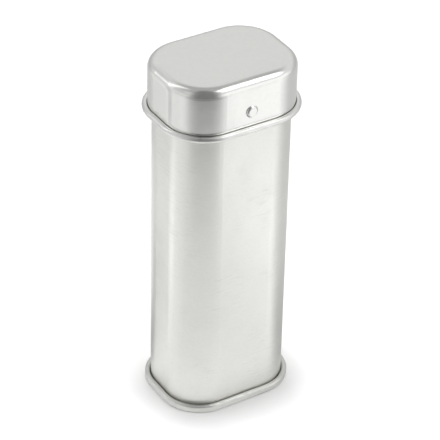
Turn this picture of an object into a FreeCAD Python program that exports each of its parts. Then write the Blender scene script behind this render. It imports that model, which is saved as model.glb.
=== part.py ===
import FreeCAD, Part
import math
import os

Vector = FreeCAD.Vector

# Upright mint tin with a flip-top lid, in millimetres. x runs along the wide side, the wall with the
# snap dome faces -y, the hinge is on the +y wall, and z rises from the surface that the tin stands on.

# The tin's outline and its sheet
body_width = 26.0
body_depth = 19.8
corner_radius = 7.5
sheet = 0.22

# Base seam, where the base's edge and the body's edge are rolled into each other
seam_height = 1.66
fold_gap = 0.17
seam_wall_gap = 0.07
seam_floor_gap = 0.08
foot_bend = 0.21

# Recessed base panel
panel_height = 1.99
panel_bend = 0.37
panel_rim = 1.2
panel_step = 0.3
step_bend = 0.6

# Lid
rim_height = 65.68
lid_rise = 10.22
lid_gap = 0.62
lid_edge_radius = 2.0
lid_panel_rim = 1.0
curl_radius = 0.64
curl_turn = 298

# Snap: the flat-topped dome in the lid and the low catch behind it on the body
snap_rise = 3.70
dome_flat = 0.75
dome_slope = 0.65
dome_height = 0.40
catch_rise = 3.1
catch_sphere_radius = 1.8
swing_clearance = 0.12

# Safe edge round the mouth of the body
neck_curl_radius = 0.5
neck_curl_turn = 250

# Lock seam that closes the body on its right narrow wall
side_seam_width = 2.6
side_seam_thickness = 0.44
side_seam_round = 0.15
side_seam_end_gap = 0.3
groove_width = 0.12
groove_depth = 0.10

# Hinge
pin_clearance = 0.04
pin_end_gap = 0.1
pin_chamfer = 0.08
knuckle_width = 4.5
knuckle_end_gap = 0.1
knuckle_turn = 290
knuckle_straight = 0.5
notch_gap = 0.25
notch_round = 0.3
joggle_turn = 60
leaf_width = 8.0
leaf_length = 5.5
leaf_shoulder = 0.4
leaf_corner = 1.2
weld_spacing = 4.0
weld_radius = 0.6
weld_depth = 0.06

# How far a cutting block runs past what it cuts
overrun = 0.5

# Worked out from the sizes above
half_width = body_width / 2
half_depth = body_depth / 2
half_sheet = sheet / 2
corner_x = half_width - corner_radius
corner_y = half_depth - corner_radius
total_height = rim_height + lid_rise

fold_middle = fold_gap + sheet
low_fold_z = sheet + seam_floor_gap + fold_middle + half_sheet
high_fold_z = seam_height - fold_middle - half_sheet
hook_length = high_fold_z - low_fold_z

curl_middle = curl_radius - half_sheet
curl_bore = curl_radius - sheet
hinge_y = half_depth + lid_gap + curl_radius
lid_front_reach = hinge_y + half_depth + lid_gap

# The mouth and the catch reach as far as the lid's front wall lets them when the lid swings past.
neck_reach = lid_front_reach - swing_clearance - neck_curl_radius
neck_bend_z = rim_height + math.sqrt(neck_reach**2 - (hinge_y + half_depth - neck_curl_radius)**2)
catch_reach = lid_front_reach - swing_clearance - catch_sphere_radius
catch_height = math.sqrt(catch_reach**2 - catch_rise**2) - hinge_y - half_depth + catch_sphere_radius


def heading_vector(angle):
    return Vector(math.cos(angle), 0, math.sin(angle))


def strip(start, heading, moves):
    """Section of a bent sheet. Its middle line starts at (radius, height) and follows the moves:
    ("line", length) or ("arc", radius, turn), with angles in degrees and left turns positive."""
    here = Vector(start[0], 0, start[1])
    angle = math.radians(heading)
    to_left = heading_vector(angle + math.pi / 2) * half_sheet
    edges = [Part.LineSegment(here - to_left, here + to_left).toShape()]
    for move in moves:
        if move[0] == "line":
            there = here + heading_vector(angle) * move[1]
            for side in (to_left, -to_left):
                edges.append(Part.LineSegment(here + side, there + side).toShape())
            here = there
            continue
        turn = math.radians(move[2])
        sense = math.copysign(1, turn)
        first_spoke = angle - sense * math.pi / 2
        centre = here - heading_vector(first_spoke) * move[1]
        for radius in (move[1] - half_sheet, move[1] + half_sheet):
            spokes = (first_spoke, first_spoke + turn / 2, first_spoke + turn)
            edges.append(Part.Arc(*[centre + heading_vector(spoke) * radius for spoke in spokes]).toShape())
        here = centre + heading_vector(first_spoke + turn) * move[1]
        angle += turn
        to_left = heading_vector(angle + math.pi / 2) * half_sheet
    edges.append(Part.LineSegment(here - to_left, here + to_left).toShape())
    return Part.Face(Part.Wire(Part.__sortEdges__(edges)))


def one_solid(shape):
    """The single solid that a join of touching pieces leaves, without its inner seams."""
    solids = shape.removeSplitter().Solids
    assert len(solids) == 1, "expected one solid, got %d" % len(solids)
    return solids[0]


def corner_centres():
    return [Vector(corner_x, corner_y, 0), Vector(-corner_x, corner_y, 0),
            Vector(-corner_x, -corner_y, 0), Vector(corner_x, -corner_y, 0)]


def ring(section):
    """Carries a section once round the tin: a quarter turn at each corner, and the straight runs."""
    centres = corner_centres()
    up = Vector(0, 0, 1)
    runs = []
    for quarter, centre in enumerate(centres):
        at_corner = section.copy()
        at_corner.rotate(Vector(), up, 90 * quarter)
        at_corner.translate(centre)
        runs.append(at_corner.revolve(centre, up, 90))
        at_run = section.copy()
        at_run.rotate(Vector(), up, 90 * (quarter + 1))
        at_run.translate(centre)
        next_centre = centres[(quarter + 1) % 4]
        runs.append(at_run.extrude(next_centre - centre))
    return one_solid(runs[0].multiFuse(runs[1:]))


def plate(radius, bottom):
    """Flat sheet that fills the outline whose corners have this radius."""
    centres = corner_centres()
    edges = []
    for quarter, centre in enumerate(centres):
        points = []
        for degrees in (0, 45, 90):
            spoke = math.radians(90 * quarter + degrees)
            points.append(centre + Vector(math.cos(spoke), math.sin(spoke), 0) * radius)
        edges.append(Part.Arc(*points).toShape())
        next_centre = centres[(quarter + 1) % 4]
        spoke = math.radians(90 * (quarter + 1))
        arm = Vector(math.cos(spoke), math.sin(spoke), 0) * radius
        edges.append(Part.LineSegment(centre + arm, next_centre + arm).toShape())
    face = Part.Face(Part.Wire(Part.__sortEdges__(edges)))
    face.translate(Vector(0, 0, bottom))
    return face.extrude(Vector(0, 0, sheet))


def block(x_range, y_range, z_range):
    size = [high - low for low, high in (x_range, y_range, z_range)]
    return Part.makeBox(*size, Vector(x_range[0], y_range[0], z_range[0]))


def press_catch(tube):
    """Presses the round catch outward in the body's front wall."""
    catch_z = rim_height + catch_rise
    centre = Vector(0, catch_sphere_radius - catch_height - half_depth, catch_z)
    wall = block((-catch_sphere_radius, catch_sphere_radius),
                 (-half_depth - catch_sphere_radius, sheet - half_depth),
                 (catch_z - catch_sphere_radius, catch_z + catch_sphere_radius))
    bump = Part.makeSphere(catch_sphere_radius, centre).common(wall)
    hollow = Part.makeSphere(catch_sphere_radius - sheet, centre).common(wall)
    return one_solid(tube.fuse(bump).cut(hollow))


def press_dome(shell):
    """Presses the flat-topped snap dome outward in the lid's front wall."""
    slope_turn = 2 * math.degrees(math.atan2(dome_height, dome_slope))
    slope_bend = dome_slope / (2 * math.sin(math.radians(slope_turn)))
    section = strip((0, dome_height), 0, [
        ("line", dome_flat),
        ("arc", slope_bend, -slope_turn),
        ("arc", slope_bend, slope_turn),
    ])
    snap_z = rim_height + snap_rise
    dome = section.revolve(Vector(), Vector(0, 0, 1), 360)
    dome.rotate(Vector(), Vector(1, 0, 0), 90)
    dome.translate(Vector(0, -half_depth - lid_gap - half_sheet, snap_z))
    hole = Part.makeCylinder(dome_flat + dome_slope, lid_gap + sheet + overrun,
                             Vector(0, -half_depth, snap_z), Vector(0, -1, 0))
    return one_solid(shell.cut(hole).fuse(dome))


def make_body_tube():
    body_hook = 2 * fold_middle - half_sheet
    section = strip((corner_radius + body_hook, high_fold_z), -90, [
        ("line", hook_length),
        ("arc", fold_middle, -180),
        ("line", neck_bend_z - low_fold_z),
        ("arc", neck_curl_radius - half_sheet, neck_curl_turn),
    ])
    tube = press_catch(ring(section))

    inner_face = half_width - sheet
    seam_bottom = panel_height + half_sheet + side_seam_end_gap
    seam_top = neck_bend_z - neck_curl_radius - side_seam_end_gap
    rib = block((inner_face - side_seam_thickness, inner_face),
                (-side_seam_width / 2, side_seam_width / 2), (seam_bottom, seam_top))
    edges = [edge for edge in rib.Edges
             if edge.BoundBox.ZLength > side_seam_width and edge.BoundBox.XMax < inner_face - half_sheet]
    rib = rib.makeFillet(side_seam_round, edges)
    groove = block((half_width - groove_depth, half_width + overrun),
                   (-groove_width / 2, groove_width / 2), (seam_bottom, seam_top))
    return one_solid(tube.fuse(rib).cut(groove))


def make_base_end():
    chuck_wall = -half_sheet - fold_middle
    cover_hook = seam_wall_gap + half_sheet
    seaming_wall = 3 * fold_middle - half_sheet
    cover_fold = (seaming_wall - cover_hook) / 2
    step_turn = math.degrees(math.acos(1 - panel_step / (2 * step_bend)))
    step_run = 2 * step_bend * math.sin(math.radians(step_turn))
    panel_radius = corner_radius + chuck_wall - panel_bend - panel_rim - step_run
    panel_middle = panel_height + panel_step
    section = strip((panel_radius, panel_middle), 0, [
        ("arc", step_bend, -step_turn),
        ("arc", step_bend, step_turn),
        ("line", panel_rim),
        ("arc", panel_bend, -90),
        ("line", panel_height - panel_bend - foot_bend - half_sheet),
        ("arc", foot_bend, 90),
        ("line", seaming_wall - fold_middle - chuck_wall - foot_bend),
        ("arc", fold_middle, 90),
        ("line", seam_height - cover_fold - fold_middle - sheet),
        ("arc", cover_fold, 180),
        ("line", hook_length),
    ])
    return one_solid(ring(section).fuse(plate(panel_radius, panel_middle - half_sheet)))


def make_lid_shell():
    edge_middle = lid_edge_radius - half_sheet
    lid_wall = lid_gap + half_sheet
    panel_radius = corner_radius + lid_wall - edge_middle - lid_panel_rim
    section = strip((panel_radius, total_height - half_sheet), 0, [
        ("line", lid_panel_rim),
        ("arc", edge_middle, -90),
        ("line", lid_rise - lid_edge_radius),
        ("arc", curl_middle, curl_turn),
    ])
    shell = press_dome(one_solid(ring(section).fuse(plate(panel_radius, total_height - sheet))))

    # Gap in the rear rim for the leaf's knuckle
    half_notch = knuckle_width / 2 + knuckle_end_gap
    notch_top = rim_height + curl_radius + notch_gap
    notch = block((-half_notch, half_notch), (half_depth, hinge_y + curl_radius + overrun),
                  (rim_height - curl_radius - overrun, notch_top))
    edges = [edge for edge in notch.Edges
             if edge.BoundBox.ZMin > rim_height and edge.BoundBox.XLength < half_notch]
    return one_solid(shell.cut(notch.makeFillet(notch_round, edges)))


def make_hinge_leaf():
    joggle_bend = lid_gap / (2 - 2 * math.cos(math.radians(joggle_turn)))
    joggle_rise = 2 * joggle_bend * math.sin(math.radians(joggle_turn))
    plate_top = rim_height - knuckle_straight - joggle_rise
    plate_bottom = plate_top - leaf_length
    section = strip((half_depth + half_sheet, plate_bottom), 90, [
        ("line", leaf_length),
        ("arc", joggle_bend, -joggle_turn),
        ("arc", joggle_bend, joggle_turn),
        ("line", knuckle_straight),
        ("arc", curl_middle, -knuckle_turn),
    ])
    section.rotate(Vector(), Vector(0, 0, 1), 90)
    section.translate(Vector(-leaf_width / 2, 0, 0))
    leaf = section.extrude(Vector(leaf_width, 0, 0))

    # The tongue that carries the knuckle is narrower than the plate.
    for side in (-1, 1):
        x_range = sorted((side * knuckle_width / 2, side * (leaf_width / 2 + overrun)))
        leaf = leaf.cut(block(x_range, (half_depth - overrun, hinge_y + curl_radius + overrun),
                              (plate_top - leaf_shoulder, rim_height + curl_radius + overrun)))
    edges = [edge for edge in leaf.Edges
             if edge.BoundBox.ZMax < plate_bottom + half_sheet and edge.BoundBox.XLength < half_sheet]
    leaf = leaf.makeFillet(leaf_corner, edges)

    # Shallow round marks of the two spot welds
    weld_sphere = (weld_radius**2 + weld_depth**2) / (2 * weld_depth)
    weld_z = (plate_bottom + plate_top - leaf_shoulder) / 2
    for side in (-1, 1):
        centre = Vector(side * weld_spacing / 2, half_depth + sheet - weld_depth + weld_sphere, weld_z)
        leaf = leaf.cut(Part.makeSphere(weld_sphere, centre))
    return one_solid(leaf)


def make_hinge_pin():
    half_length = corner_x - pin_end_gap
    pin = Part.makeCylinder(curl_bore - pin_clearance, 2 * half_length,
                            Vector(-half_length, hinge_y, rim_height), Vector(1, 0, 0))
    rims = [edge for edge in pin.Edges if isinstance(edge.Curve, Part.Circle)]
    return pin.makeChamfer(pin_chamfer, rims)


os.makedirs("parts", exist_ok=True)
pieces = {
    "body_tube": make_body_tube(),
    "base_end": make_base_end(),
    "lid_shell": make_lid_shell(),
    "hinge_leaf": make_hinge_leaf(),
    "hinge_pin": make_hinge_pin(),
}
for node, shape in pieces.items():
    shape.exportStep("parts/%s.step" % node)
    print(node, "valid" if shape.isValid() else "NOT VALID", "%.1f mm3" % shape.Volume)
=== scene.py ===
import math

import bpy
from mathutils import Matrix, Vector

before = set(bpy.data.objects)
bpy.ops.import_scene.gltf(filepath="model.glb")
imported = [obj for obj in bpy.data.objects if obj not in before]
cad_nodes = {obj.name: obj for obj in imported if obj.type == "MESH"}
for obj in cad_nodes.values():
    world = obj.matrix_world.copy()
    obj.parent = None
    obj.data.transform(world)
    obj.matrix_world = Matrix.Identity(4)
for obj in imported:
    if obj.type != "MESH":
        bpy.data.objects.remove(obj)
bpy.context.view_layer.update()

# Millimetres, as Blender works in metres
MM = 0.001

# Camera, found by fitting the tin's own outline to the photograph's 440-pixel frame
PICTURE_SIZE = 440
SENSOR_WIDTH = 36.0
FOCAL_PIXELS = 2350.0
CAMERA_DISTANCE = 467.7 * MM
CAMERA_TURN = math.radians(32.1)
CAMERA_RISE = math.radians(34.77)
CAMERA_ROLL = math.radians(1.33)
AIM_HEIGHT = 35.0 * MM
AIM_RIGHT = 0.18 * MM
AIM_UP = 2.71 * MM
NEAREST_SEEN = 10 * MM
FARTHEST_SEEN = 20.0

# Directions of the studio, level with the floor
TO_CAMERA = Vector((-math.sin(CAMERA_TURN), -math.cos(CAMERA_TURN), 0))
TO_RIGHT = Vector((math.cos(CAMERA_TURN), -math.sin(CAMERA_TURN), 0))
UP = Vector((0, 0, 1))

# Centres of the tin's round corners. The cards fan out from the two front ones
CORNER_X = 5.5 * MM
CORNER_Y = 2.4 * MM
LEFT_CORNER = Vector((-CORNER_X, -CORNER_Y, 0))
RIGHT_CORNER = Vector((CORNER_X, -CORNER_Y, 0))

# A sector, here and below, is its turn from the camera to the right, and the angles from that direction
# where its edge starts and where it is full. All are in degrees, as are heights on the tent

# Light tent, which the metal mirrors: brightness of the wall, and what each other part adds to it
TENT_RADIUS = 2.0
TENT_SEGMENTS = 64
TENT_RINGS = 32
TENT_WALL = 0.84
TENT_FOOT = -0.32
TENT_FOOT_SECTOR = (180, 80, 40)
TENT_FOOT_TOP = 32
TENT_RIGHT = 0.40
TENT_RIGHT_SECTOR = (62, 52, 24)
TENT_RIGHT_FADE = 18
TENT_RIGHT_TOP = 34
TENT_LEFT = -0.20
TENT_LEFT_SECTOR = (-90, 63, 41)
TENT_LEFT_START = 12
TENT_LEFT_FULL = 28

# Brightness of the tent's ceiling, and of the opening where the camera stands
TENT_CEILING = 0.48
TENT_CEILING_START = 40
TENT_CEILING_FULL = 62
TENT_OPENING = 0.22
TENT_OPENING_SECTOR = (4, 50, 18)

# Floor, and the even light on it
FLOOR_LIGHT = 0.85
FLOOR_REACH = 1500 * MM
FLOOR_COLOUR = 0.88
FLOOR_LIFT = 0.06
HALF_BOUNCE = 0.5

# Glowing cards on the floor that only the metal mirrors, which paint shade and reflections into it, and
# the distances over which they begin
CARD_HEIGHT = 0.2 * MM
CARD_START = 16 * MM
CARD_END = 36 * MM
BACK_START = 12 * MM
BACK_END = 20 * MM

# Dark cards, painted shade on the floor as the metal mirrors it: brightness, and how much of the floor
# each covers
PAINTED_SHADE_GLOW = 0.16
SIDE_COVER = 0.10
FRONT_NEAR_SECTOR = (0, 82, 45)
FRONT_NEAR_COVER = 0.22
FRONT_FAR_SECTOR = (4, 64, 4)
FRONT_FAR_COVER = 0.88
FRONT_FROM = 75 * MM
FRONT_TO = 138 * MM
BACK_SECTOR = (170, 95, 58)
BACK_NEAR_COVER = 0.62
BACK_MIDDLE_COVER = 0.38
BACK_FAR_COVER = 0.10
BACK_FROM = 20 * MM
BACK_MIDDLE = 75 * MM
BACK_TO = 105 * MM
LEFT_DARK_SECTOR = (-122, 14, 4)
LEFT_DARK_NEAR = 0.65
LEFT_DARK_FAR = 0.12
LEFT_DARK_FROM = 40 * MM
LEFT_DARK_TO = 112 * MM
LID_CARD_SECTOR = (-80, 30, 10)
LID_CARD_COVER = 0.24
LID_CARD_FROM = 99 * MM
LID_CARD_TO = 109 * MM

# White cards on either side, glowing painted reflections: brightness, and how much of it is lost where the
# lid mirrors them
WHITE_NEAR = 1.18
WHITE_FAR = 1.60
WHITE_FROM = 40 * MM
WHITE_TO = 80 * MM
LEFT_WHITE_SECTOR = (-96, 12, 4)
LEFT_FADE = 1.0
LEFT_FADE_FROM = 99 * MM
LEFT_FADE_TO = 112 * MM
RIGHT_WHITE_SECTOR = (66.5, 12, 2)
RIGHT_FADE = 0.38
RIGHT_FADE_FROM = 84 * MM
RIGHT_FADE_TO = 98 * MM

# Pale glowing cards at the tin's foot in front, and at the rear left: painted reflections, brighter than
# the floor there
FOOT_GLOW = 1.0
FOOT_SECTOR = (0, 95, 55)
FOOT_COVER = 0.5
FOOT_FROM = 20 * MM
FOOT_TO = 32 * MM
LEFT_PALE = 1.1
LEFT_PALE_SECTOR = (-153, 28, 12)
LEFT_PALE_FROM = 14 * MM
LEFT_PALE_TO = 45 * MM
LEFT_PALE_FADE = 86 * MM
LEFT_PALE_END = 104 * MM

# Spot welds of the hinge leaf, and how far round them the heat dulled the plate
WELD_X = 2.0 * MM
WELD_Z = 61.16 * MM
WELD_RADIUS = 0.55 * MM
WELD_HEAT = 1.0 * MM

# Grain of the tinplate along x, y and z
ROLLED_LINES = Vector((5.0, 5.0, 0.30)) * MM
DRAWN_LINES = Vector((6.0, 0.08, 0.08)) * MM
CLOUDS = Vector((5.0, 5.0, 5.0)) * MM
MOTTLE = Vector((0.7, 0.7, 0.5)) * MM
SCUFFS = Vector((3.0, 3.0, 0.22)) * MM
SCUFF_PATCHES = Vector((9.0, 9.0, 14.0)) * MM
RUBS = Vector((2.2, 2.2, 0.9)) * MM
WAVES = Vector((8.0, 8.0, 11.0)) * MM
LINE_HEIGHT = 0.0009 * MM
WAVE_HEIGHT = 0.045 * MM

# Fineness of each grain, the part of the noise's range that is used, and where scuffs and rubs show in it
PLAIN_DETAIL = 2.0
MOTTLE_DETAIL = 4.0
SCUFF_DETAIL = 3.0
WAVE_DETAIL = 1.0
NOISE_LOW = 0.3
NOISE_HIGH = 0.7
SCUFF_START = 0.72
SCUFF_FULL = 0.95
PATCH_START = 0.5
PATCH_FULL = 0.9
RUB_LEAST = 0.4

# How far the tint goes either way, and how much each mark moves it to the lighter side
TINT_SPREAD = 0.035
LINE_SHADE = 0.15
CLOUD_SHADE = 0.35
MOTTLE_SHADE = 0.35
SCUFF_SHADE = -0.6
RUB_SHADE = -0.9
WELD_SHADE = -3.5

# How much each mark adds to the roughness. Lines and clouds add and take away by turns
LINE_DULLING = 0.015
CLOUD_DULLING = 0.018
SCUFF_DULLING = 0.10
RUB_DULLING = 0.16
WELD_DULLING = 0.08

# Places of the colour sockets on a Mix node
MIX_FIRST = 6
MIX_SECOND = 7
MIX_RESULT = 2


def cosine(degrees):
    return math.cos(math.radians(degrees))


def sine(degrees):
    return math.sin(math.radians(degrees))


def level_direction(turn):
    """Level direction this many degrees to the right of the camera, as seen from the tin."""
    return TO_CAMERA * cosine(turn) + TO_RIGHT * sine(turn)


def add_object(name, data):
    item = bpy.data.objects.new(name, data)
    bpy.context.scene.collection.objects.link(item)
    return item


def show_in_mirrors_only(item):
    item.visible_camera = False
    item.visible_diffuse = False
    item.visible_shadow = False


def empty_material(name):
    material = bpy.data.materials.new(name)
    material.use_nodes = True
    tree = material.node_tree
    tree.nodes.clear()
    return material, tree


def add(tree, kind, inputs=None, **settings):
    """Adds a node with these settings and input values. A linked input is given as an output socket."""
    node = tree.nodes.new(kind)
    for name, value in settings.items():
        setattr(node, name, value)
    for name, value in (inputs or {}).items():
        if isinstance(value, bpy.types.NodeSocket):
            tree.links.new(value, node.inputs[name])
        else:
            node.inputs[name].default_value = value
    return node


def set_surface(tree, shader):
    add(tree, "ShaderNodeOutputMaterial", {"Surface": shader})


def glow(tree, strength):
    return add(tree, "ShaderNodeEmission", {"Strength": strength}).outputs[0]


def mix_shaders(tree, factor, first, second):
    return add(tree, "ShaderNodeMixShader", {"Fac": factor, 1: first, 2: second}).outputs[0]


def mix_numbers(tree, factor, first, second):
    return add(tree, "ShaderNodeMix", {"Factor": factor, "A": first, "B": second}).outputs["Result"]


def ramp(tree, value, start, end, low, high):
    """Smooth step of a value, from low at start to high at end."""
    step = add(tree, "ShaderNodeMapRange", {"Value": value, "From Min": start, "From Max": end,
                                            "To Min": low, "To Max": high},
               interpolation_type="SMOOTHSTEP")
    return step.outputs["Result"]


def maths(tree, operation, *values):
    """One operation on two or more numbers, taken from the left."""
    total = values[0]
    for value in values[1:]:
        total = add(tree, "ShaderNodeMath", {0: total, 1: value}, operation=operation).outputs[0]
    return total


def sum_of(tree, *values):
    return maths(tree, "ADD", *values)


def product(tree, *values):
    return maths(tree, "MULTIPLY", *values)


def greatest(tree, *values):
    return maths(tree, "MAXIMUM", *values)


def vector_maths(tree, operation, first, second, output="Vector"):
    return add(tree, "ShaderNodeVectorMath", {0: first, 1: second}, operation=operation).outputs[output]


def object_place(tree):
    return add(tree, "ShaderNodeTexCoord").outputs["Object"]


def level_place(tree):
    """Place of a point, without its height."""
    return vector_maths(tree, "MULTIPLY", object_place(tree), (1, 1, 0))


def length(tree, vector):
    return vector_maths(tree, "LENGTH", vector, (0, 0, 0), "Value")


def level_heading(tree, centre=(0, 0, 0)):
    """Level direction of a point from this centre."""
    away = vector_maths(tree, "SUBTRACT", object_place(tree), centre)
    level = vector_maths(tree, "MULTIPLY", away, (1, 1, 0))
    return vector_maths(tree, "NORMALIZE", level, (0, 0, 0))


def in_sector(tree, heading, sector, amount=1.0):
    """Rises from 0 outside a sector to an amount where the sector is full."""
    turn, start, full = sector
    along = vector_maths(tree, "DOT_PRODUCT", heading, level_direction(turn), "Value")
    return ramp(tree, along, cosine(start), cosine(full), 0.0, amount)


def direct_view(tree):
    """1 for rays that carry the picture: from the camera, off metal, and through glass."""
    path = add(tree, "ShaderNodeLightPath")
    return greatest(tree, path.outputs["Is Camera Ray"], path.outputs["Is Glossy Ray"],
                    path.outputs["Is Transmission Ray"])


def off_floor(tree):
    """1 for rays that have already met the floor. They see an even white room, which gives a plain
    shadow."""
    path = add(tree, "ShaderNodeLightPath")
    return maths(tree, "GREATER_THAN", path.outputs["Diffuse Depth"], HALF_BOUNCE)


def make_camera():
    """Stands to the front left of the tin, above it, with no lens shift."""
    back = TO_CAMERA * math.cos(CAMERA_RISE) + UP * math.sin(CAMERA_RISE)
    middle = UP * AIM_HEIGHT
    place = middle + back * CAMERA_DISTANCE
    side = (-back).cross(UP).normalized()
    aim = middle + side * AIM_RIGHT + side.cross(-back) * AIM_UP
    forward = (aim - place).normalized()
    level_side = forward.cross(UP).normalized()
    level_up = level_side.cross(forward)
    right = level_side * math.cos(CAMERA_ROLL) + level_up * math.sin(CAMERA_ROLL)
    top = level_up * math.cos(CAMERA_ROLL) - level_side * math.sin(CAMERA_ROLL)
    data = bpy.data.cameras.new("photo_camera")
    data.sensor_width = SENSOR_WIDTH
    data.lens = SENSOR_WIDTH * FOCAL_PIXELS / PICTURE_SIZE
    data.clip_start = NEAREST_SEEN
    data.clip_end = FARTHEST_SEEN
    camera = add_object("photo_camera", data)
    turn = Matrix((right, top, -forward)).transposed()
    camera.matrix_world = Matrix.Translation(place) @ turn.to_4x4()
    bpy.context.scene.camera = camera


def make_world():
    """A white background, which is also the even light on the floor."""
    world = bpy.data.worlds.new("white_background")
    bpy.context.scene.world = world
    world.use_nodes = True
    tree = world.node_tree
    tree.nodes.clear()
    strength = mix_numbers(tree, direct_view(tree), FLOOR_LIGHT, 1.0)
    white = add(tree, "ShaderNodeBackground", {"Strength": strength})
    add(tree, "ShaderNodeOutputWorld", {"Surface": white.outputs[0]})


def make_tent():
    """A glowing tent round the set: pale walls, brighter to the right and dimmer to the left and behind,
    a dim ceiling, and a dark opening where the camera stands."""
    bpy.ops.mesh.primitive_uv_sphere_add(segments=TENT_SEGMENTS, ring_count=TENT_RINGS, radius=TENT_RADIUS)
    tent = bpy.context.object
    tent.name = "light_tent"
    show_in_mirrors_only(tent)
    material, tree = empty_material("tent_cloth")
    heading = level_heading(tree)
    direction = vector_maths(tree, "NORMALIZE", object_place(tree), (0, 0, 0))
    height = vector_maths(tree, "DOT_PRODUCT", direction, UP, "Value")
    foot = product(tree, ramp(tree, height, 0.0, sine(TENT_FOOT_TOP), TENT_FOOT, 0.0),
                   in_sector(tree, heading, TENT_FOOT_SECTOR))
    ceiling = ramp(tree, height, sine(TENT_CEILING_START), sine(TENT_CEILING_FULL),
                   0.0, TENT_CEILING - TENT_WALL)
    right = product(tree, in_sector(tree, direction, TENT_RIGHT_SECTOR, TENT_RIGHT),
                    ramp(tree, height, sine(TENT_RIGHT_FADE), sine(TENT_RIGHT_TOP), 1.0, 0.0))
    left = product(tree, in_sector(tree, direction, TENT_LEFT_SECTOR, TENT_LEFT),
                   ramp(tree, height, sine(TENT_LEFT_START), sine(TENT_LEFT_FULL), 0.0, 1.0))
    cloth = sum_of(tree, foot, TENT_WALL, ceiling, sum_of(tree, left, right))
    opening = in_sector(tree, heading, TENT_OPENING_SECTOR)
    mirrored = mix_numbers(tree, opening, cloth, TENT_OPENING)
    set_surface(tree, glow(tree, mix_numbers(tree, off_floor(tree), mirrored, FLOOR_LIGHT)))
    tent.data.materials.append(material)


def flat_square(name, reach, height):
    mesh = bpy.data.meshes.new(name)
    corners = [(-reach, -reach, height), (reach, -reach, height),
               (reach, reach, height), (-reach, reach, height)]
    mesh.from_pydata(corners, [], [(0, 1, 2, 3)])
    square = add_object(name, mesh)
    return square


def make_floor():
    """White paper with the tin's shadow on it. From below it is clear."""
    floor = flat_square("floor", FLOOR_REACH, 0.0)
    material, tree = empty_material("floor_paper")
    paper = add(tree, "ShaderNodeBsdfDiffuse", {"Color": (FLOOR_COLOUR, FLOOR_COLOUR, FLOOR_COLOUR, 1)})
    lift = glow(tree, product(tree, direct_view(tree), FLOOR_LIFT))
    both = add(tree, "ShaderNodeAddShader", {0: paper.outputs[0], 1: lift})
    clear = add(tree, "ShaderNodeBsdfTransparent")
    below = add(tree, "ShaderNodeNewGeometry").outputs["Backfacing"]
    set_surface(tree, mix_shaders(tree, below, both.outputs[0], clear.outputs[0]))
    floor.data.materials.append(material)


def painted_shade_cover(tree, heading, distance, outward):
    """How much the dark cards, painted shade on the mirrored floor, cover: in front, behind, to the left,
    and one that only the lid mirrors.
    """
    from_foot = ramp(tree, distance, BACK_START, BACK_END, 0.0, 1.0)
    near = greatest(tree, in_sector(tree, heading, FRONT_NEAR_SECTOR, FRONT_NEAR_COVER), SIDE_COVER)
    far = product(tree, in_sector(tree, heading, FRONT_FAR_SECTOR),
                  ramp(tree, distance, FRONT_FROM, FRONT_TO, 0.0, FRONT_FAR_COVER))
    front = product(tree, greatest(tree, near, far), outward)
    behind = sum_of(tree,
                    ramp(tree, distance, BACK_FROM, BACK_MIDDLE, BACK_NEAR_COVER, BACK_MIDDLE_COVER),
                    ramp(tree, distance, BACK_MIDDLE, BACK_TO, 0.0, BACK_FAR_COVER))
    back = product(tree, in_sector(tree, heading, BACK_SECTOR), behind, from_foot)
    left = product(tree, in_sector(tree, heading, LEFT_DARK_SECTOR),
                   ramp(tree, distance, LEFT_DARK_FROM, LEFT_DARK_TO, LEFT_DARK_NEAR, LEFT_DARK_FAR),
                   from_foot)
    lid = product(tree, in_sector(tree, heading, LID_CARD_SECTOR),
                  ramp(tree, distance, LID_CARD_FROM, LID_CARD_TO, 0.0, LID_CARD_COVER))
    return greatest(tree, front, back, left, lid)


def painted_light_cards(tree, heading, distance, outward):
    """How much the white cards on either side cover, and their glow: painted reflections of light in the
    metal.
    """
    left = in_sector(tree, heading, LEFT_WHITE_SECTOR)
    right = in_sector(tree, level_heading(tree, RIGHT_CORNER), RIGHT_WHITE_SECTOR)
    cover = product(tree, greatest(tree, left, right), outward)
    left_fade = product(tree, left,
                        ramp(tree, distance, LEFT_FADE_FROM, LEFT_FADE_TO, 0.0, LEFT_FADE))
    right_fade = product(tree, right,
                         ramp(tree, distance, RIGHT_FADE_FROM, RIGHT_FADE_TO, 0.0, RIGHT_FADE))
    strength = ramp(tree, distance, WHITE_FROM, WHITE_TO, WHITE_NEAR, WHITE_FAR)
    strength = maths(tree, "SUBTRACT", strength, sum_of(tree, left_fade, right_fade))
    return cover, glow(tree, strength)


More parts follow.
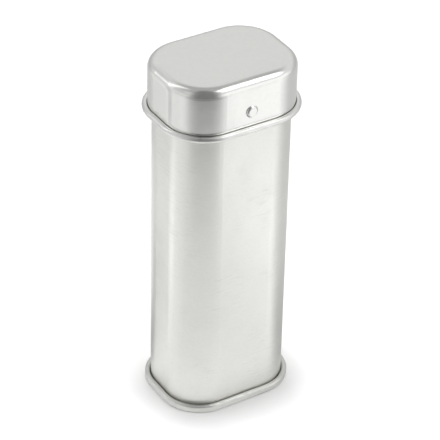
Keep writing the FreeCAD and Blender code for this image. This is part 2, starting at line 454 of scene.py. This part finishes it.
def make_painted_reflections():
    """Soft-edged glowing cards on the floor, which only reflections show: painted shade and painted
    reflections in the metal. The dark ones lie lowest, then the pale ones, then the white ones."""
    cards = flat_square("painted_shade_and_reflection_cards", FLOOR_REACH, CARD_HEIGHT)
    show_in_mirrors_only(cards)
    material, tree = empty_material("painted_shade_and_reflections")
    heading = level_heading(tree, LEFT_CORNER)
    distance = length(tree, level_place(tree))
    outward = ramp(tree, distance, CARD_START, CARD_END, 0.0, 1.0)
    clear = add(tree, "ShaderNodeBsdfTransparent").outputs[0]
    painted_shade = painted_shade_cover(tree, heading, distance, outward)
    # Painted shade: a dim glow that covers the floor where the metal mirrors it
    paper = mix_shaders(tree, painted_shade, clear, glow(tree, PAINTED_SHADE_GLOW))
    # Painted reflection: a pale glow at the foot in front, over the floor's own shade there
    foot = product(tree, ramp(tree, distance, FOOT_FROM, FOOT_TO, FOOT_COVER, 0.0),
                   in_sector(tree, heading, FOOT_SECTOR))
    paper = mix_shaders(tree, foot, paper, glow(tree, FOOT_GLOW))
    # Painted reflection: a pale glow to the rear left
    left_pale = product(tree, ramp(tree, distance, LEFT_PALE_FROM, LEFT_PALE_TO, 0.0, 1.0),
                        ramp(tree, distance, LEFT_PALE_FADE, LEFT_PALE_END, 1.0, 0.0),
                        in_sector(tree, heading, LEFT_PALE_SECTOR))
    paper = mix_shaders(tree, left_pale, paper, glow(tree, LEFT_PALE))
    # Painted reflections of light: the white cards glow brighter than the floor
    white, white_glow = painted_light_cards(tree, heading, distance, outward)
    paper = mix_shaders(tree, white, paper, white_glow)
    set_surface(tree, mix_shaders(tree, off_floor(tree), paper, clear))
    cards.data.materials.append(material)


def make_softbox(name, turn, rise, distance, width, height, power, mirrored=True):
    """A lamp aimed at the tin. Turn is from the camera to the right and rise is above the floor, in
    degrees. Lengths are in metres and power is in watts."""
    toward = level_direction(turn) * cosine(rise) + UP * sine(rise)
    data = bpy.data.lights.new(name, "AREA")
    data.shape = "RECTANGLE"
    data.size = width
    data.size_y = height
    data.energy = power
    lamp = add_object(name, data)
    face = toward.to_track_quat("Z", "Y").to_matrix().to_4x4()
    lamp.matrix_world = Matrix.Translation(UP * AIM_HEIGHT + toward * distance) @ face
    lamp.visible_glossy = mirrored


def grain(tree, size, detail=PLAIN_DETAIL):
    """Noise from 0 to 1 whose grain has this size along x, y and z."""
    spread = vector_maths(tree, "DIVIDE", object_place(tree), size)
    field = add(tree, "ShaderNodeTexNoise", {"Vector": spread, "Scale": 1.0, "Detail": detail})
    return ramp(tree, field.outputs["Fac"], NOISE_LOW, NOISE_HIGH, 0.0, 1.0)


def outward_reach(tree):
    """Level distance outward from the lines that join the centres of the tin's round corners."""
    spread = vector_maths(tree, "ABSOLUTE", level_place(tree), (0, 0, 0))
    past = vector_maths(tree, "SUBTRACT", spread, (CORNER_X, CORNER_Y, 0))
    return length(tree, vector_maths(tree, "MAXIMUM", past, (0, 0, 0)))


def rubbing(tree, start, full):
    """Rises from 0 to 1 between two distances outward, unevenly."""
    reach = ramp(tree, outward_reach(tree), start, full, 0.0, 1.0)
    return product(tree, reach, ramp(tree, grain(tree, RUBS), 0.0, 1.0, RUB_LEAST, 1.0))


def weld_heat(tree):
    """1 at the hinge leaf's two spot welds, falling to 0 a little way round them."""
    spread = vector_maths(tree, "ABSOLUTE", object_place(tree), (0, 0, 0))
    away = vector_maths(tree, "SUBTRACT", spread, (WELD_X, 0, WELD_Z))
    away = vector_maths(tree, "MULTIPLY", away, (1, 0, 1))
    return ramp(tree, length(tree, away), WELD_RADIUS, WELD_HEAT, 1.0, 0.0)


def tinplate(name, tint, roughness, lined=1.0, scuffed=1.0, lines_size=ROLLED_LINES,
             rub_from=None, rub_to=None, welded=False):
    """Tin-plated sheet or wire: fine lines from the rolls or the die, cloudy dulling, level scuffs and a
    slight wave. Its edges can be rubbed dull between two distances outward, and it can have the marks of
    spot welds."""
    material, tree = empty_material(name)
    lines = grain(tree, lines_size)
    clouds = grain(tree, CLOUDS)
    mottle = grain(tree, MOTTLE, MOTTLE_DETAIL)
    scuffs = ramp(tree, grain(tree, SCUFFS, SCUFF_DETAIL), SCUFF_START, SCUFF_FULL, 0.0, 1.0)
    patches = ramp(tree, grain(tree, SCUFF_PATCHES), PATCH_START, PATCH_FULL, 0.0, scuffed)
    scuffs = product(tree, scuffs, patches)
    shade = sum_of(tree, product(tree, lines, LINE_SHADE * lined), product(tree, clouds, CLOUD_SHADE),
                   product(tree, mottle, MOTTLE_SHADE), product(tree, scuffs, SCUFF_SHADE))
    dullness = sum_of(tree, ramp(tree, lines, 0.0, 1.0, -LINE_DULLING * lined, LINE_DULLING * lined),
                      ramp(tree, clouds, 0.0, 1.0, -CLOUD_DULLING, CLOUD_DULLING),
                      product(tree, scuffs, SCUFF_DULLING), roughness)
    if rub_from is not None:
        rubbed = rubbing(tree, rub_from, rub_to)
        shade = sum_of(tree, shade, product(tree, rubbed, RUB_SHADE))
        dullness = sum_of(tree, dullness, product(tree, rubbed, RUB_DULLING))
    if welded:
        heat = weld_heat(tree)
        shade = sum_of(tree, shade, product(tree, heat, WELD_SHADE))
        dullness = sum_of(tree, dullness, product(tree, heat, WELD_DULLING))
    darker = (*[level * (1 - TINT_SPREAD) for level in tint], 1)
    lighter = (*[level * (1 + TINT_SPREAD) for level in tint], 1)
    colour = add(tree, "ShaderNodeMix", {"Factor": shade, MIX_FIRST: darker, MIX_SECOND: lighter},
                 data_type="RGBA", clamp_factor=False)
    waves = grain(tree, WAVES, WAVE_DETAIL)
    waved = add(tree, "ShaderNodeBump", {"Height": waves, "Distance": WAVE_HEIGHT})
    scored = add(tree, "ShaderNodeBump", {"Height": lines, "Distance": LINE_HEIGHT * lined,
                                          "Normal": waved.outputs[0]})
    metal = add(tree, "ShaderNodeBsdfPrincipled", {"Base Color": colour.outputs[MIX_RESULT],
                                                   "Metallic": 1.0, "Roughness": dullness,
                                                   "Normal": scored.outputs[0]})
    set_surface(tree, metal.outputs[0])
    return material


make_camera()
make_world()
make_tent()
make_floor()
make_painted_reflections()
make_softbox("right_softbox", turn=78, rise=55, distance=0.6, width=0.28, height=0.28, power=0.45)
make_softbox("left_softbox", turn=-101, rise=42, distance=0.7, width=0.16, height=0.7, power=0.35)
make_softbox("floor_spot", turn=-160, rise=87.5, distance=1.2, width=0.12, height=0.12, power=6.0,
             mirrored=False)

finishes = {
    "body_tube": tinplate("satin_tinplate", tint=(0.765, 0.765, 0.737), roughness=0.34),
    "base_end": tinplate("base_tinplate", tint=(0.72, 0.72, 0.695), roughness=0.32,
                         rub_from=7.8 * MM, rub_to=8.4 * MM),
    "lid_shell": tinplate("bright_tinplate", tint=(0.80, 0.80, 0.78), roughness=0.22,
                          lined=0.25, scuffed=0.0, rub_from=8.76 * MM, rub_to=9.0 * MM),
    "hinge_leaf": tinplate("hinge_tinplate", tint=(0.64, 0.64, 0.62), roughness=0.24, welded=True),
    "hinge_pin": tinplate("pin_wire", tint=(0.68, 0.68, 0.67), roughness=0.30, lines_size=DRAWN_LINES),
}
for name, material in finishes.items():
    mesh = cad_nodes[name].data
    mesh.materials.clear()
    mesh.materials.append(material)

bpy.context.scene.view_settings.view_transform = "Standard"
